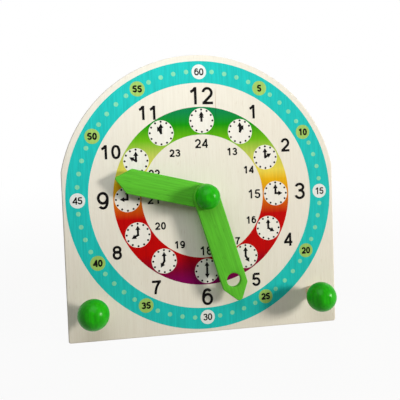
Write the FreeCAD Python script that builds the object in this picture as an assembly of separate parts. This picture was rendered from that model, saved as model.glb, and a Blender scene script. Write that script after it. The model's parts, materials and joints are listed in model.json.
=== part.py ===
import FreeCAD, Part
import math
import os

# Geared teaching clock: an arched wooden dial board that leans back on two ball-headed pegs,
# with an hour hand and a minute hand geared 1 to 12 by a small wheel train in a case at the back.
#
# Every piece is modelled in the dial frame: X to the right, Y up the board, Z out of the dial,
# with its zero at the dial centre on the board's front face. standing() then leans the dial
# frame back, so that the finished part rests on z = 0 with +Z up and its face towards -Y.
# Its origin is the middle of the board's planed bottom edge.

# ---- Board ----
BOARD_WIDTH = 220.0
BOARD_DROP = 110.2            # dial centre down to the bottom edge
SHOULDER_RISE = 22.6          # dial centre up to where the arch meets the straight sides
BOARD_THICKNESS = 8.0
BOARD_CORNER_RADIUS = 2.0
BOARD_EDGE_ROUND = 1.0
LEAN_ANGLE = 15.0             # degrees that the board leans back

# ---- Hands and centre knob ----
HAND_STANDOFF = 5.2           # board front to the hour hand's back
HAND_THICKNESS = 4.5
HAND_GAP = 0.7                # between the two hands
HAND_EDGE_ROUND = 0.6
HAND_SHOULDER_ROUND = 3.0
HAND_TIP_ROUND = 2.0
HOUR_HAND_LENGTH = 71.0       # axis to tip
HOUR_HAND_WIDTH = 19.6
HOUR_HAND_POINT = 9.9         # length of the tapered point
MINUTE_HAND_LENGTH = 85.9
MINUTE_HAND_WIDTH = 20.4
MINUTE_HAND_POINT = 11.2
FINGER_HOLE_DIAMETER = 11.2
FINGER_HOLE_FROM_TIP = 15.9
KNOB_DIAMETER = 19.3
KNOB_SEAT_DEPTH = 4.7         # knob centre in front of the minute hand
END_RECESS = 0.4              # dowel ends lie this far inside their balls
MINUTE_HAND_ANGLE = 163.7     # degrees clockwise from 12, at rest: 27.3 minutes past the hour
SHOWN_HOUR = 9

# ---- Ball-headed pegs ----
BALL_DIAMETER = 23.5
BALL_STANDOFF = 20.8          # board front to the ball's centre
PEG_DIAMETER = 10.0
PEG_TENON_DIAMETER = 6.0
PEG_INSET = 20.9              # board side to the peg's axis
PEG_RISE = 26.7               # board bottom to the peg's axis
PEG_END_CHAMFER = 0.8

# ---- Gear train ----
GEAR_MODULE = 0.8
PRESSURE_ANGLE = 20.0
CANNON_TEETH = 15
CANNON_REDUCTION = 3          # minute wheel teeth per cannon pinion tooth
MINUTE_PINION_TEETH = 12
PINION_REDUCTION = 4          # hour wheel teeth per minute pinion tooth
PINION_ADDENDUM = 1.0         # in modules
WHEEL_ADDENDUM = 0.75         # shortened, so that no tip digs into a small pinion's root
DEDENDUM = 1.25
TOOTH_THINNING = 0.12         # each tooth is this much thinner at the pitch circle, for backlash
WHEEL_WIDTH = 3.0
CANNON_WIDTH = 3.6

# ---- Arbors, bushes and post ----
ARBOR_DIAMETER = 5.0
PIPE_DIAMETER = 9.0
BUSH_DIAMETER = 14.0
BUSH_FLANGE_DIAMETER = 18.0
BUSH_FLANGE_THICKNESS = 1.6
REAR_BUSH_DIAMETER = 9.0
REAR_BUSH_FLANGE_DIAMETER = 12.0
REAR_BUSH_FLANGE = 1.3
POST_DIAMETER = 4.0
POST_COLLAR_DIAMETER = 6.4
POST_COLLAR = 0.3
CLIP_DIAMETER = 8.0
CLIP_THICKNESS = 0.6
CLIP_SLOT = 2.6
WASHER_DIAMETER = 9.6
WASHER_STOCK = 0.3
WASHER_HEIGHT = 0.8

# ---- Gear case and its screws ----
BASE_THICKNESS = 2.5
CASE_WALL = 2.0
CASE_CLEARANCE = 2.2          # between the largest wheel's tips and the wall
CASE_ROUND = 1.5
EAR_RADIUS = 5.0
EAR_THICKNESS = 2.5
EAR_REACH = 3.5               # case wall to the screw's axis
SCREW_DIAMETER = 2.8
SCREW_HEAD_DIAMETER = 5.6
SCREW_HEAD_HEIGHT = 1.8
SCREW_COVER = 3.0             # wood left in front of a screw's tip
SINK_DEPTH = 1.4              # countersink of the base screws
RECESS_WIDTH = 0.9
RECESS_SPAN = 3.2
RECESS_DEPTH = 1.0
BASE_SCREW_SPREAD = 13.0      # each base screw's distance from the case's middle line

# ---- Fits ----
RUNNING_FIT = 0.06            # radial, between a turning piece and its bearing
SEAT_FIT = 0.02               # radial, between glued or pressed pieces
SCREW_FIT = 0.10              # radial, around a screw's shank
END_PLAY = 0.3                # along an axis, between turning and fixed pieces
WHEEL_GAP = 0.5               # along the axis, between wheels that pass each other
BLIND_GAP = 1.0               # left beyond a screw's tip

# ---- Worked out from the above ----
lean = math.radians(LEAN_ANGLE)
half_width = BOARD_WIDTH / 2
arch_radius = math.hypot(half_width, SHOULDER_RISE)
board_back = -BOARD_THICKNESS
base_back = board_back - BASE_THICKNESS

hour_hand_back = HAND_STANDOFF
hour_hand_front = hour_hand_back + HAND_THICKNESS
minute_hand_back = hour_hand_front + HAND_GAP
minute_hand_front = minute_hand_back + HAND_THICKNESS
knob_radius = KNOB_DIAMETER / 2
knob_centre = minute_hand_front + KNOB_SEAT_DEPTH
finger_hole_reach = MINUTE_HAND_LENGTH - FINGER_HOLE_FROM_TIP
hour_hand_angle = SHOWN_HOUR * 30.0 + MINUTE_HAND_ANGLE / 12

arbor_radius = ARBOR_DIAMETER / 2
arbor_front = knob_centre + math.sqrt(knob_radius ** 2 - arbor_radius ** 2) - END_RECESS
pipe_radius = PIPE_DIAMETER / 2
pipe_front = minute_hand_back - END_PLAY
bush_front = hour_hand_back - END_PLAY

minute_wheel_teeth = CANNON_TEETH * CANNON_REDUCTION
hour_wheel_teeth = MINUTE_PINION_TEETH * PINION_REDUCTION
centre_distance = GEAR_MODULE * (CANNON_TEETH + minute_wheel_teeth) / 2
hour_module = 2 * centre_distance / (MINUTE_PINION_TEETH + hour_wheel_teeth)
hour_wheel_tip = hour_module * (hour_wheel_teeth / 2 + WHEEL_ADDENDUM)
minute_wheel_tip = GEAR_MODULE * (minute_wheel_teeth / 2 + WHEEL_ADDENDUM)
pinion_root = hour_module * (MINUTE_PINION_TEETH / 2 - DEDENDUM)
pinion_hub_radius = pinion_root - SEAT_FIT

hour_wheel_front = base_back - WHEEL_GAP
hour_wheel_back = hour_wheel_front - WHEEL_WIDTH
cannon_front = hour_wheel_back - WHEEL_GAP
cannon_back = cannon_front - CANNON_WIDTH
minute_wheel_front = cannon_front - (CANNON_WIDTH - WHEEL_WIDTH) / 2
minute_wheel_back = minute_wheel_front - WHEEL_WIDTH
pinion_front = base_back - WHEEL_GAP
pinion_hub_back = minute_wheel_back - END_PLAY
clip_front = pinion_hub_back - END_PLAY
clip_back = clip_front - CLIP_THICKNESS
post_back = clip_back - CLIP_THICKNESS
washer_front = cannon_back - END_PLAY / 2
washer_back = washer_front - WASHER_HEIGHT
rear_flange_front = washer_back - END_PLAY / 2
case_floor = rear_flange_front - REAR_BUSH_FLANGE
case_back = case_floor - CASE_WALL
arbor_back = case_back + END_RECESS

case_inner = max(hour_wheel_tip, minute_wheel_tip) + CASE_CLEARANCE
case_outer = case_inner + CASE_WALL
ear_offset = case_outer + EAR_REACH
idler_y = -centre_distance
case_screw_places = [(side * ear_offset, y) for side in (-1, 1) for y in (0.0, idler_y)]
base_screw_places = [(side * BASE_SCREW_SPREAD, idler_y / 2) for side in (-1, 1)]
screw_tip = -SCREW_COVER

ball_radius = BALL_DIAMETER / 2
peg_radius = PEG_DIAMETER / 2
tenon_radius = PEG_TENON_DIAMETER / 2
peg_x = half_width - PEG_INSET
peg_y = PEG_RISE - BOARD_DROP
peg_shoulder = BALL_STANDOFF - math.sqrt(ball_radius ** 2 - peg_radius ** 2)
peg_front = BALL_STANDOFF + math.sqrt(ball_radius ** 2 - tenon_radius ** 2) - END_RECESS
peg_back = -((PEG_RISE - peg_radius) / math.tan(lean) + PEG_END_CHAMFER)


# ---- Basic shapes, in the dial frame ----
def vector(x, y, z=0.0):
    return FreeCAD.Vector(x, y, z)


def rod(radius, low, high, x=0.0, y=0.0):
    return Part.makeCylinder(radius, high - low, vector(x, y, low))


def turned(profile, x=0.0, y=0.0):
    """A solid of revolution about the line through x, y along Z. profile is (radius, z) points."""
    corners = [vector(radius, 0.0, z) for radius, z in profile]
    face = Part.Face(Part.makePolygon(corners + corners[:1]))
    solid = face.revolve(vector(0, 0, 0), vector(0, 0, 1), 360)
    solid.translate(vector(x, y))
    return solid


def plate(edges, low, high):
    """The closed outline of edges at z = 0, made a plate from low to high."""
    face = Part.Face(Part.Wire(Part.__sortEdges__(edges)))
    face.translate(vector(0, 0, low))
    return face.extrude(vector(0, 0, high - low))


def rounded_outline(corners):
    """Edges of a closed polygon of (x, y, radius) corners, each rounded with its own radius."""
    count = len(corners)
    arcs = []
    for index, (x, y, radius) in enumerate(corners):
        here = vector(x, y)
        back = vector(*corners[index - 1][:2]).sub(here).normalize()
        ahead = vector(*corners[(index + 1) % count][:2]).sub(here).normalize()
        half_angle = back.getAngle(ahead) / 2
        setback = radius / math.tan(half_angle)
        start = here.add(back.multiply(setback))
        end = here.add(ahead.multiply(setback))
        bisector = start.add(end).multiply(0.5).sub(here).normalize()
        middle = here.add(bisector.multiply(radius / math.sin(half_angle) - radius))
        arcs.append((start, middle, end))
    edges = [Part.Arc(*arc).toShape() for arc in arcs]
    for index in range(count):
        line_start, line_end = arcs[index - 1][2], arcs[index][0]
        if line_start.distanceToPoint(line_end) > Part.Precision.confusion():
            edges.append(Part.makeLine(line_start, line_end))
    return edges


def slot(radius, low, high):
    """A long round-ended plate around the dial centre and the idler's post."""
    corners = [(-radius, idler_y - radius, radius), (radius, idler_y - radius, radius),
               (radius, radius, radius), (-radius, radius, radius)]
    return plate(rounded_outline(corners), low, high)


def round_rim(solid, z, radius):
    """Rounds every edge of solid that lies flat at height z."""
    rim = [edge for edge in solid.Edges if all(abs(vertex.Z - z) < 1e-6 for vertex in edge.Vertexes)]
    return solid.makeFillet(radius, rim)


# ---- Gears ----
def involute(angle):
    return math.tan(angle) - angle


def gear(teeth, module, addendum, low, high, y, start_angle):
    """A spur gear about (0, y). The middle of its first tooth points along start_angle."""
    pitch_radius = module * teeth / 2
    pressure = math.radians(PRESSURE_ANGLE)
    base_radius = pitch_radius * math.cos(pressure)
    tip_radius = pitch_radius + addendum * module
    root_radius = pitch_radius - DEDENDUM * module
    flank_start = max(root_radius, base_radius)
    half_tooth = (math.pi * module / 2 - TOOTH_THINNING) / 2 / pitch_radius

    def flank_angle(radius):
        return half_tooth + involute(pressure) - involute(math.acos(min(1.0, base_radius / radius)))

    def at(radius, angle):
        return vector(radius * math.cos(angle), y + radius * math.sin(angle))

    flank_radii = (flank_start, (flank_start + tip_radius) / 2, tip_radius)
    step = 2 * math.pi / teeth
    edges = []
    for tooth in range(teeth):
        middle = start_angle + tooth * step
        for side in (-1, 1):
            flank = [at(radius, middle + side * flank_angle(radius)) for radius in flank_radii]
            edges.append(Part.Arc(*flank).toShape())
            if root_radius < base_radius:
                foot = at(root_radius, middle + side * flank_angle(base_radius))
                edges.append(Part.makeLine(foot, flank[0]))
        tip_half = flank_angle(tip_radius)
        root_half = flank_angle(flank_start)
        edges.append(Part.Arc(at(tip_radius, middle - tip_half), at(tip_radius, middle),
                              at(tip_radius, middle + tip_half)).toShape())
        edges.append(Part.Arc(at(root_radius, middle + root_half), at(root_radius, middle + step / 2),
                              at(root_radius, middle + step - root_half)).toShape())
    return plate(edges, low, high)


# In the line of centres a driving tooth points down at the idler, or up at the hour wheel,
# and the gear that it meets has the middle of a gap there.
DOWN = -math.pi / 2
UP = math.pi / 2


def cannon_pinion():
    blank = gear(CANNON_TEETH, GEAR_MODULE, PINION_ADDENDUM, cannon_back, cannon_front, 0.0, DOWN)
    return blank.cut(rod(arbor_radius + SEAT_FIT, cannon_back, cannon_front))


def minute_wheel():
    gap_up = UP + math.pi / minute_wheel_teeth
    blank = gear(minute_wheel_teeth, GEAR_MODULE, WHEEL_ADDENDUM,
                 minute_wheel_back, minute_wheel_front, idler_y, gap_up)
    return blank.cut(rod(pinion_hub_radius + SEAT_FIT, minute_wheel_back, minute_wheel_front, 0.0, idler_y))


def minute_pinion():
    toothed = gear(MINUTE_PINION_TEETH, hour_module, PINION_ADDENDUM,
                   minute_wheel_front, pinion_front, idler_y, UP)
    hub = rod(pinion_hub_radius, pinion_hub_back, minute_wheel_front, 0.0, idler_y)
    bore = rod(POST_DIAMETER / 2 + RUNNING_FIT, pinion_hub_back, pinion_front, 0.0, idler_y)
    return toothed.fuse(hub).cut(bore).removeSplitter()


def hour_wheel():
    gap_down = DOWN + math.pi / hour_wheel_teeth
    blank = gear(hour_wheel_teeth, hour_module, WHEEL_ADDENDUM,
                 hour_wheel_back, hour_wheel_front, 0.0, gap_down)
    return blank.cut(rod(pipe_radius + SEAT_FIT, hour_wheel_back, hour_wheel_front))


# ---- Board ----
def standing(shape):
    """Leans a dial-frame shape back and sets it on z = 0, with its face towards -Y."""
    dial_centre = vector(0.0, BOARD_DROP * math.sin(lean) - BOARD_THICKNESS / math.cos(lean) / 2,
                         BOARD_DROP * math.cos(lean))
    turn = FreeCAD.Rotation(vector(1, 0, 0), 90.0 - LEAN_ANGLE)
    placed = shape.copy()
    placed.Placement = FreeCAD.Placement(dial_centre, turn).multiply(shape.Placement)
    return placed


def below_floor():
    """Everything under the surface that the clock stands on, in the standing frame."""
    reach = 2 * (BOARD_WIDTH + BOARD_DROP)
    return Part.makeBox(2 * reach, 2 * reach, reach, vector(-reach, -reach, -reach))


def dial_board():
    """Returned in the standing frame, because its bottom edge is planed along the floor."""
    corner = BOARD_CORNER_RADIUS
    inset = corner * (1 - math.sqrt(0.5))
    left, right, bottom = -half_width, half_width, -BOARD_DROP
    edges = [Part.makeLine(vector(left + corner, bottom), vector(right - corner, bottom)),
             Part.Arc(vector(right - corner, bottom), vector(right - inset, bottom + inset),
                      vector(right, bottom + corner)).toShape(),
             Part.makeLine(vector(right, bottom + corner), vector(right, SHOULDER_RISE)),
             Part.Arc(vector(right, SHOULDER_RISE), vector(0, arch_radius),
                      vector(left, SHOULDER_RISE)).toShape(),
             Part.makeLine(vector(left, SHOULDER_RISE), vector(left, bottom + corner)),
             Part.Arc(vector(left, bottom + corner), vector(left + inset, bottom + inset),
                      vector(left + corner, bottom)).toShape()]
    board = plate(edges, board_back, 0.0)
    board = round_rim(round_rim(board, 0.0, BOARD_EDGE_ROUND), board_back, BOARD_EDGE_ROUND)
    board = board.cut(rod(BUSH_DIAMETER / 2 + SEAT_FIT, board_back, 0.0))
    for side in (-1, 1):
        board = board.cut(rod(peg_radius + SEAT_FIT, board_back, 0.0, side * peg_x, peg_y))
    for x, y in case_screw_places + base_screw_places:
        hole = rod(SCREW_DIAMETER / 2 + SCREW_FIT, board_back, screw_tip + BLIND_GAP, x, y)
        board = board.cut(hole)
    return standing(board).cut(below_floor())


# ---- Hands and knob ----
def hand(length, width, point, low, bore_radius):
    """A flat hand that points to 12, with a round hub end and a tapered point."""
    side = width / 2
    corners = [(-side, -side, side), (side, -side, side), (side, length - point, HAND_SHOULDER_ROUND),
               (0.0, length, HAND_TIP_ROUND), (-side, length - point, HAND_SHOULDER_ROUND)]
    high = low + HAND_THICKNESS
    blank = plate(rounded_outline(corners), low, high)
    blank = round_rim(round_rim(blank, high, HAND_EDGE_ROUND), low, HAND_EDGE_ROUND)
    return blank.cut(rod(bore_radius, low, high))


def clockwise(shape, angle):
    """Turns a hand from 12 to angle."""
    shape.rotate(vector(0, 0, 0), vector(0, 0, 1), -angle)
    return shape


def hour_hand():
    upright = hand(HOUR_HAND_LENGTH, HOUR_HAND_WIDTH, HOUR_HAND_POINT,
                   hour_hand_back, pipe_radius + SEAT_FIT)
    return clockwise(upright, hour_hand_angle)


def minute_hand():
    upright = hand(MINUTE_HAND_LENGTH, MINUTE_HAND_WIDTH, MINUTE_HAND_POINT,
                   minute_hand_back, arbor_radius + SEAT_FIT)
    finger_hole = rod(FINGER_HOLE_DIAMETER / 2, minute_hand_back, minute_hand_front,
                      0.0, finger_hole_reach)
    return clockwise(upright.cut(finger_hole), MINUTE_HAND_ANGLE)


def ball(radius, centre, seat, bore_radius, x=0.0, y=0.0):
    """A drilled ball, cut flat at its seat."""
    sphere = Part.makeSphere(radius, vector(x, y, centre))
    under = rod(2 * radius, seat - 2 * radius, seat, x, y)
    return sphere.cut(under).cut(rod(bore_radius, centre - 2 * radius, centre + 2 * radius, x, y))


def centre_knob():
    return ball(knob_radius, knob_centre, minute_hand_front, arbor_radius + SEAT_FIT)


# ---- Centre arbor, pipe, bushes and post ----
def minute_arbor():
    return rod(arbor_radius, arbor_back, arbor_front)


def hour_pipe():
    return rod(pipe_radius, hour_wheel_back, pipe_front).cut(
        rod(arbor_radius + RUNNING_FIT, hour_wheel_back, pipe_front))


def centre_bush():
    bore = pipe_radius + RUNNING_FIT
    body = BUSH_DIAMETER / 2
    flange = BUSH_FLANGE_DIAMETER / 2
    return turned([(bore, base_back), (body, base_back), (body, 0.0), (flange, 0.0),
                   (flange, BUSH_FLANGE_THICKNESS), (body, BUSH_FLANGE_THICKNESS),
                   (body, bush_front), (bore, bush_front)])


def rear_bush():
    bore = arbor_radius + RUNNING_FIT
    body = REAR_BUSH_DIAMETER / 2
    flange = REAR_BUSH_FLANGE_DIAMETER / 2
    return turned([(bore, case_back), (body, case_back), (body, case_floor), (flange, case_floor),
                   (flange, rear_flange_front), (bore, rear_flange_front)])


def friction_washer():
    """A shallow spring cone that presses the cannon pinion forward."""
    inner = arbor_radius + END_PLAY
    outer = WASHER_DIAMETER / 2
    return turned([(inner, washer_front), (inner, washer_front - WASHER_STOCK),
                   (outer, washer_back), (outer, washer_back + WASHER_STOCK)])


def idler_post():
    radius = POST_DIAMETER / 2
    collar = POST_COLLAR_DIAMETER / 2
    collar_back = base_back - POST_COLLAR
    return turned([(0.0, board_back), (radius, board_back), (radius, base_back), (collar, base_back),
                   (collar, collar_back), (radius, collar_back), (radius, post_back), (0.0, post_back)],
                  0.0, idler_y)


def idler_clip():
    """An open ring that grips the post's end."""
    ring = rod(CLIP_DIAMETER / 2, clip_back, clip_front, 0.0, idler_y)
    ring = ring.cut(rod(POST_DIAMETER / 2 + SEAT_FIT, clip_back, clip_front, 0.0, idler_y))
    mouth = Part.makeBox(CLIP_SLOT, CLIP_DIAMETER, CLIP_THICKNESS,
                         vector(-CLIP_SLOT / 2, idler_y - CLIP_DIAMETER, clip_back))
    return ring.cut(mouth)


# ---- Gear case ----
def ears(low, high):
    """Four screw ears, reaching from inside the case wall to their screws."""
    shapes = []
    for x, y in case_screw_places:
        wall = math.copysign(case_inner + CASE_WALL / 2, x)
        arm = Part.makeBox(abs(x - wall), 2 * EAR_RADIUS, high - low,
                           vector(min(x, wall), y - EAR_RADIUS, low))
        shapes += [rod(EAR_RADIUS, low, high, x, y), arm]
    return shapes


def drill_ears(solid, low, high):
    for x, y in case_screw_places:
        solid = solid.cut(rod(SCREW_DIAMETER / 2 + SCREW_FIT, low, high, x, y))
    return solid


def case_base():
    base = slot(case_outer, base_back, board_back).multiFuse(ears(base_back, board_back))
    base = drill_ears(base.removeSplitter(), base_back, board_back)
    base = base.cut(rod(BUSH_DIAMETER / 2 + SEAT_FIT, base_back, board_back))
    base = base.cut(rod(POST_DIAMETER / 2 + SEAT_FIT, base_back, board_back, 0.0, idler_y))
    for x, y in base_screw_places:
        base = base.cut(base_screw(x, y, SCREW_FIT))
    return base


def case_cover():
    shell = round_rim(slot(case_outer, case_back, base_back), case_back, CASE_ROUND)
    ear_back = base_back - EAR_THICKNESS
    shell = shell.multiFuse(ears(ear_back, base_back)).removeSplitter()
    shell = shell.cut(slot(case_inner, case_floor, base_back))
    shell = shell.cut(rod(REAR_BUSH_DIAMETER / 2 + SEAT_FIT, case_back, case_floor))
    return drill_ears(shell, ear_back, base_back)


# ---- Screws ----
def cross_recess(x, y, face):
    """The cross cut into a screw head whose outer face lies at z = face."""
    bars = []
    for width, span in ((RECESS_WIDTH, RECESS_SPAN), (RECESS_SPAN, RECESS_WIDTH)):
        bars.append(Part.makeBox(width, span, RECESS_DEPTH, vector(x - width / 2, y - span / 2, face)))
    return bars


def case_screw(x, y):
    """A pan-head screw through the cover's ear and the base into the board."""
    seat = base_back - EAR_THICKNESS
    face = seat - SCREW_HEAD_HEIGHT
    shank, head = SCREW_DIAMETER / 2, SCREW_HEAD_DIAMETER / 2
    crown = head - SCREW_HEAD_HEIGHT / 2
    screw = turned([(0.0, face), (crown, face), (head, seat - SCREW_HEAD_HEIGHT / 2), (head, seat),
                    (shank, seat), (shank, screw_tip - shank), (0.0, screw_tip)], x, y)
    return screw.cut(cross_recess(x, y, face))


def base_screw(x, y, oversize=0.0):
    """A countersunk screw through the base into the board, or with oversize its hole."""
    shank, head = SCREW_DIAMETER / 2 + oversize, SCREW_HEAD_DIAMETER / 2 + oversize
    return turned([(0.0, base_back), (head, base_back), (shank, base_back + SINK_DEPTH),
                   (shank, screw_tip - shank), (0.0, screw_tip)], x, y)


def case_screws():
    return Part.makeCompound([case_screw(x, y) for x, y in case_screw_places])


def base_screws():
    return Part.makeCompound([base_screw(x, y).cut(cross_recess(x, y, base_back))
                              for x, y in base_screw_places])


# ---- Ball-headed pegs ----
def peg(side):
    """A stepped dowel: tenon in the ball, shoulder behind it, leg through the board to the floor."""
    chamfered = peg_radius - PEG_END_CHAMFER
    return turned([(0.0, peg_back), (chamfered, peg_back), (peg_radius, peg_back + PEG_END_CHAMFER),
                   (peg_radius, peg_shoulder), (tenon_radius, peg_shoulder),
                   (tenon_radius, peg_front), (0.0, peg_front)], side * peg_x, peg_y)


def peg_ball(side):
    return ball(ball_radius, BALL_STANDOFF, peg_shoulder, tenon_radius + SEAT_FIT, side * peg_x, peg_y)


def build():
    """Every piece by its node name, in the standing frame."""
    dial_frame_pieces = {
        "hour_hand": hour_hand(),
        "minute_hand": minute_hand(),
        "centre_knob": centre_knob(),
        "minute_arbor": minute_arbor(),
        "hour_pipe": hour_pipe(),
        "hour_wheel": hour_wheel(),
        "cannon_pinion": cannon_pinion(),
        "minute_wheel": minute_wheel(),
        "minute_pinion": minute_pinion(),
        "centre_bush": centre_bush(),
        "rear_bush": rear_bush(),
        "friction_washer": friction_washer(),
        "idler_post": idler_post(),
        "idler_clip": idler_clip(),
        "case_base": case_base(),
        "case_cover": case_cover(),
        "case_screws": case_screws(),
        "base_screws": base_screws(),
        "left_peg": peg(-1),
        "right_peg": peg(1),
        "left_ball": peg_ball(-1),
        "right_ball": peg_ball(1),
    }
    pieces = {name: standing(shape) for name, shape in dial_frame_pieces.items()}
    pieces["dial_board"] = dial_board()
    return pieces


os.makedirs("parts", exist_ok=True)
for node_name, piece in build().items():
    piece.exportStep("parts/" + node_name + ".step")
    print(node_name, "solids", len(piece.Solids), "valid", piece.isValid(), "mm3", round(piece.Volume, 1))
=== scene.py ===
# Geared teaching clock: the printed dial, the two hands, the turned balls and every finish,
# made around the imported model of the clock.
import json
import math

import bmesh
import bpy
from bpy.props import FloatProperty, FloatVectorProperty, PointerProperty
from bpy.types import Operator, Panel, PropertyGroup
from mathutils import Matrix, Vector

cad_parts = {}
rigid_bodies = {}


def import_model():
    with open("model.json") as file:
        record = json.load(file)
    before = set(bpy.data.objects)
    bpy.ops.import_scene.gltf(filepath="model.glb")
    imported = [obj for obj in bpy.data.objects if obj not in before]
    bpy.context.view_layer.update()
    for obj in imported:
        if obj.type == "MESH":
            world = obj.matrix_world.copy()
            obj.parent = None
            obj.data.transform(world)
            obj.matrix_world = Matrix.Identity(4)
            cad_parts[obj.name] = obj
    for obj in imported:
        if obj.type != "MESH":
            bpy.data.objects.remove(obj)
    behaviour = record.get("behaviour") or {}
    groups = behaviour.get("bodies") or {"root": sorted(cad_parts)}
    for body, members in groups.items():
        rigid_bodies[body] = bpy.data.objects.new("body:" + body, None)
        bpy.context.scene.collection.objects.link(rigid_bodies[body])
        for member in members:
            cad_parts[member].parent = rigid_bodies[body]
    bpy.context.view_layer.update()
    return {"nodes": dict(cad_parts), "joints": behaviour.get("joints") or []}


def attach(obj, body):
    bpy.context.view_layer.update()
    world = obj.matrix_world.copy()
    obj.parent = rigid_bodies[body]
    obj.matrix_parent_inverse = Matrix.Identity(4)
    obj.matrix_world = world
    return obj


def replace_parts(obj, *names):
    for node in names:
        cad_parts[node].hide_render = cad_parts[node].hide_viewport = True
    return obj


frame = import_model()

bl_info = {
    "name": "Geared Teaching Clock",
    "version": (1, 0, 0),
    "blender": (4, 5, 0),
    "location": "3D View > Sidebar > Clock",
    "description": "Prints the dial, makes the hands and balls, and finishes every piece",
    "category": "Add Mesh",
}

MM = 0.001
MERGE = 0.002 * MM               # points nearer than this are one point
SMOOTH_LIMIT = math.radians(35.0)
MINUTE_DEGREES = 6.0             # what a minute and an hour take of the dial
HOUR_DEGREES = 30.0

# ---- The dial frame: X right, Y up the board, Z out of it, zero at the dial centre ----
minute_turn = next(joint for joint in frame["joints"] if joint["name"] == "minute_turn")
DIAL_OUT = -Vector(minute_turn["axis"]).normalized()
DIAL_RIGHT = Vector((1.0, 0.0, 0.0))
DIAL_UP = DIAL_OUT.cross(DIAL_RIGHT)
DIAL = (Matrix.Translation(minute_turn["pos_m"])
        @ Matrix((DIAL_RIGHT, DIAL_UP, DIAL_OUT)).transposed().to_4x4())

# Clockwise from 12, at rest.
MINUTE_HAND_ANGLE = 163.7
HOUR_HAND_ANGLE = 9 * HOUR_DEGREES + MINUTE_HAND_ANGLE / 12


def clockwise(degrees):
    """The dial frame, turned clockwise about its centre."""
    return DIAL @ Matrix.Rotation(-math.radians(degrees), 4, "Z")


def extent(node, place):
    """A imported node's lowest and highest corner in the frame that place stands for."""
    into = place.inverted()
    points = [into @ vertex.co for vertex in frame["nodes"][node].data.vertices]
    low, high = ([pick(point[axis] for point in points) for axis in range(3)] for pick in (min, max))
    return Vector(low), Vector(high)


# ---- Sizes and colours that a user may change ----
def length(name, description, millimetres):
    return FloatProperty(name=name, description=description, default=millimetres * MM,
                         min=0.0, unit="LENGTH", precision=5)


def colour(name, description, *rgb):
    return FloatVectorProperty(name=name, description=description, default=rgb, size=3,
                               min=0.0, max=1.0, subtype="COLOR")


def spot(name, description, *metres):
    return FloatVectorProperty(name=name, description=description, default=metres, size=3,
                               subtype="TRANSLATION")


def power(name, description, watts):
    return FloatProperty(name=name, description=description, default=watts, min=0.0, unit="POWER")


class ClockWoodProps(PropertyGroup):
    """Woods, stain and lacquer."""
    birch_pale: colour("Pale birch", "Early wood of the board", 0.83, 0.785, 0.69)
    birch_dark: colour("Dark birch", "Late wood of the board", 0.79, 0.738, 0.640)
    cross_ply: colour("Cross ply", "End grain on the board's edges", 0.42, 0.27, 0.13)
    dowel: colour("Dowel", "Bare pegs and arbor", 0.72, 0.56, 0.36)
    hand_green: colour("Hand stain", "Both hands", 0.100, 0.480, 0.026)
    ball_green: colour("Ball lacquer", "Knob and corner balls", 0.012, 0.400, 0.001)


class ClockInkProps(PropertyGroup):
    """Inks of the dial."""
    turquoise: colour("Turquoise", "Minute ring", 0.016, 0.525, 0.490)
    lime: colour("Lime", "Five minute discs", 0.345, 0.560, 0.130)
    dot: colour("Minute dot", "Single minute dots", 0.220, 0.665, 0.420)
    white: colour("White", "Quarter hour discs", 0.770, 0.800, 0.780)
    black: colour("Black", "Numerals and small hands", 0.005, 0.004, 0.004)
    deep_green: colour("Deep green", "Band at its top", 0.003, 0.230, 0.070)
    green: colour("Green", "Band near its top", 0.008, 0.300, 0.002)
    leaf: colour("Leaf", "Band at 1 and 11", 0.155, 0.490, 0.008)
    pale_lime: colour("Pale lime", "Band above 2 and 10", 0.520, 0.600, 0.100)
    yellow: colour("Yellow", "Band below 2 and 10", 0.850, 0.690, 0.090)
    amber: colour("Amber", "Band above 3 and 9", 0.850, 0.470, 0.008)
    orange: colour("Orange", "Band below 3 and 9", 0.640, 0.100, 0.004)
    red: colour("Red", "Band at 4 and 8", 0.540, 0.002, 0.002)
    crimson: colour("Crimson", "Band above 5 and 7", 0.400, 0.001, 0.008)
    wine: colour("Wine", "Band at 5 and 7", 0.230, 0.001, 0.025)
    plum: colour("Plum", "Band at its foot", 0.210, 0.001, 0.085)


class ClockDialProps(PropertyGroup):
    """Sizes of the print."""
    ring_inner: length("Minute ring, inside", "Its inner radius", 90.3)
    ring_outer: length("Minute ring, outside", "Its outer radius", 107.4)
    minute_circle: length("Minute circle", "Radius on which the numbered discs lie", 98.4)
    minute_rise: length("Minute rise", "How far this circle sits above centre", 0.5)
    dot_circle: length("Dot circle", "Radius on which the single dots lie", 98.7)
    dot_rise: length("Dot rise", "How far this circle sits above centre", 0.6)
    minute_disc: length("Minute disc", "Radius of each numbered disc", 5.85)
    minute_dot: length("Minute dot", "Radius of each single dot", 1.8)
    band_inner: length("Rainbow band, inside", "Its inner radius", 49.4)
    band_outer: length("Rainbow band, outside", "Its outer radius", 71.3)
    small_circle: length("Small clock circle", "Radius on which the small clocks lie", 60.3)
    small_clock: length("Small clock", "Its radius", 10.0)
    small_dot_circle: length("Small dot circle", "Radius of a small clock's ring of dots", 8.85)
    small_dot: length("Small dot", "Its radius", 0.84)
    small_minute_hand: length("Small minute hand", "Its printed length", 7.5)
    small_hour_hand: length("Small hour hand", "Its printed length", 5.9)
    sunk: length("Print depth", "How far the inks soak into the wood", 0.02)
    film: length("Ink film", "Thickness that each layer of ink adds", 0.035)


class ClockNumeralProps(PropertyGroup):
    """Heights of the printed numerals."""
    quarter: length("12, 3, 6 and 9", "Height of the larger hours", 13.7)
    hour: length("Other hours", "Their height", 11.0)
    day_quarter: length("24, 15, 18 and 21", "Height of the larger day hours", 7.3)
    day: length("Other day hours", "Their height", 6.0)
    minute: length("Minutes", "Their height", 5.6)


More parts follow.
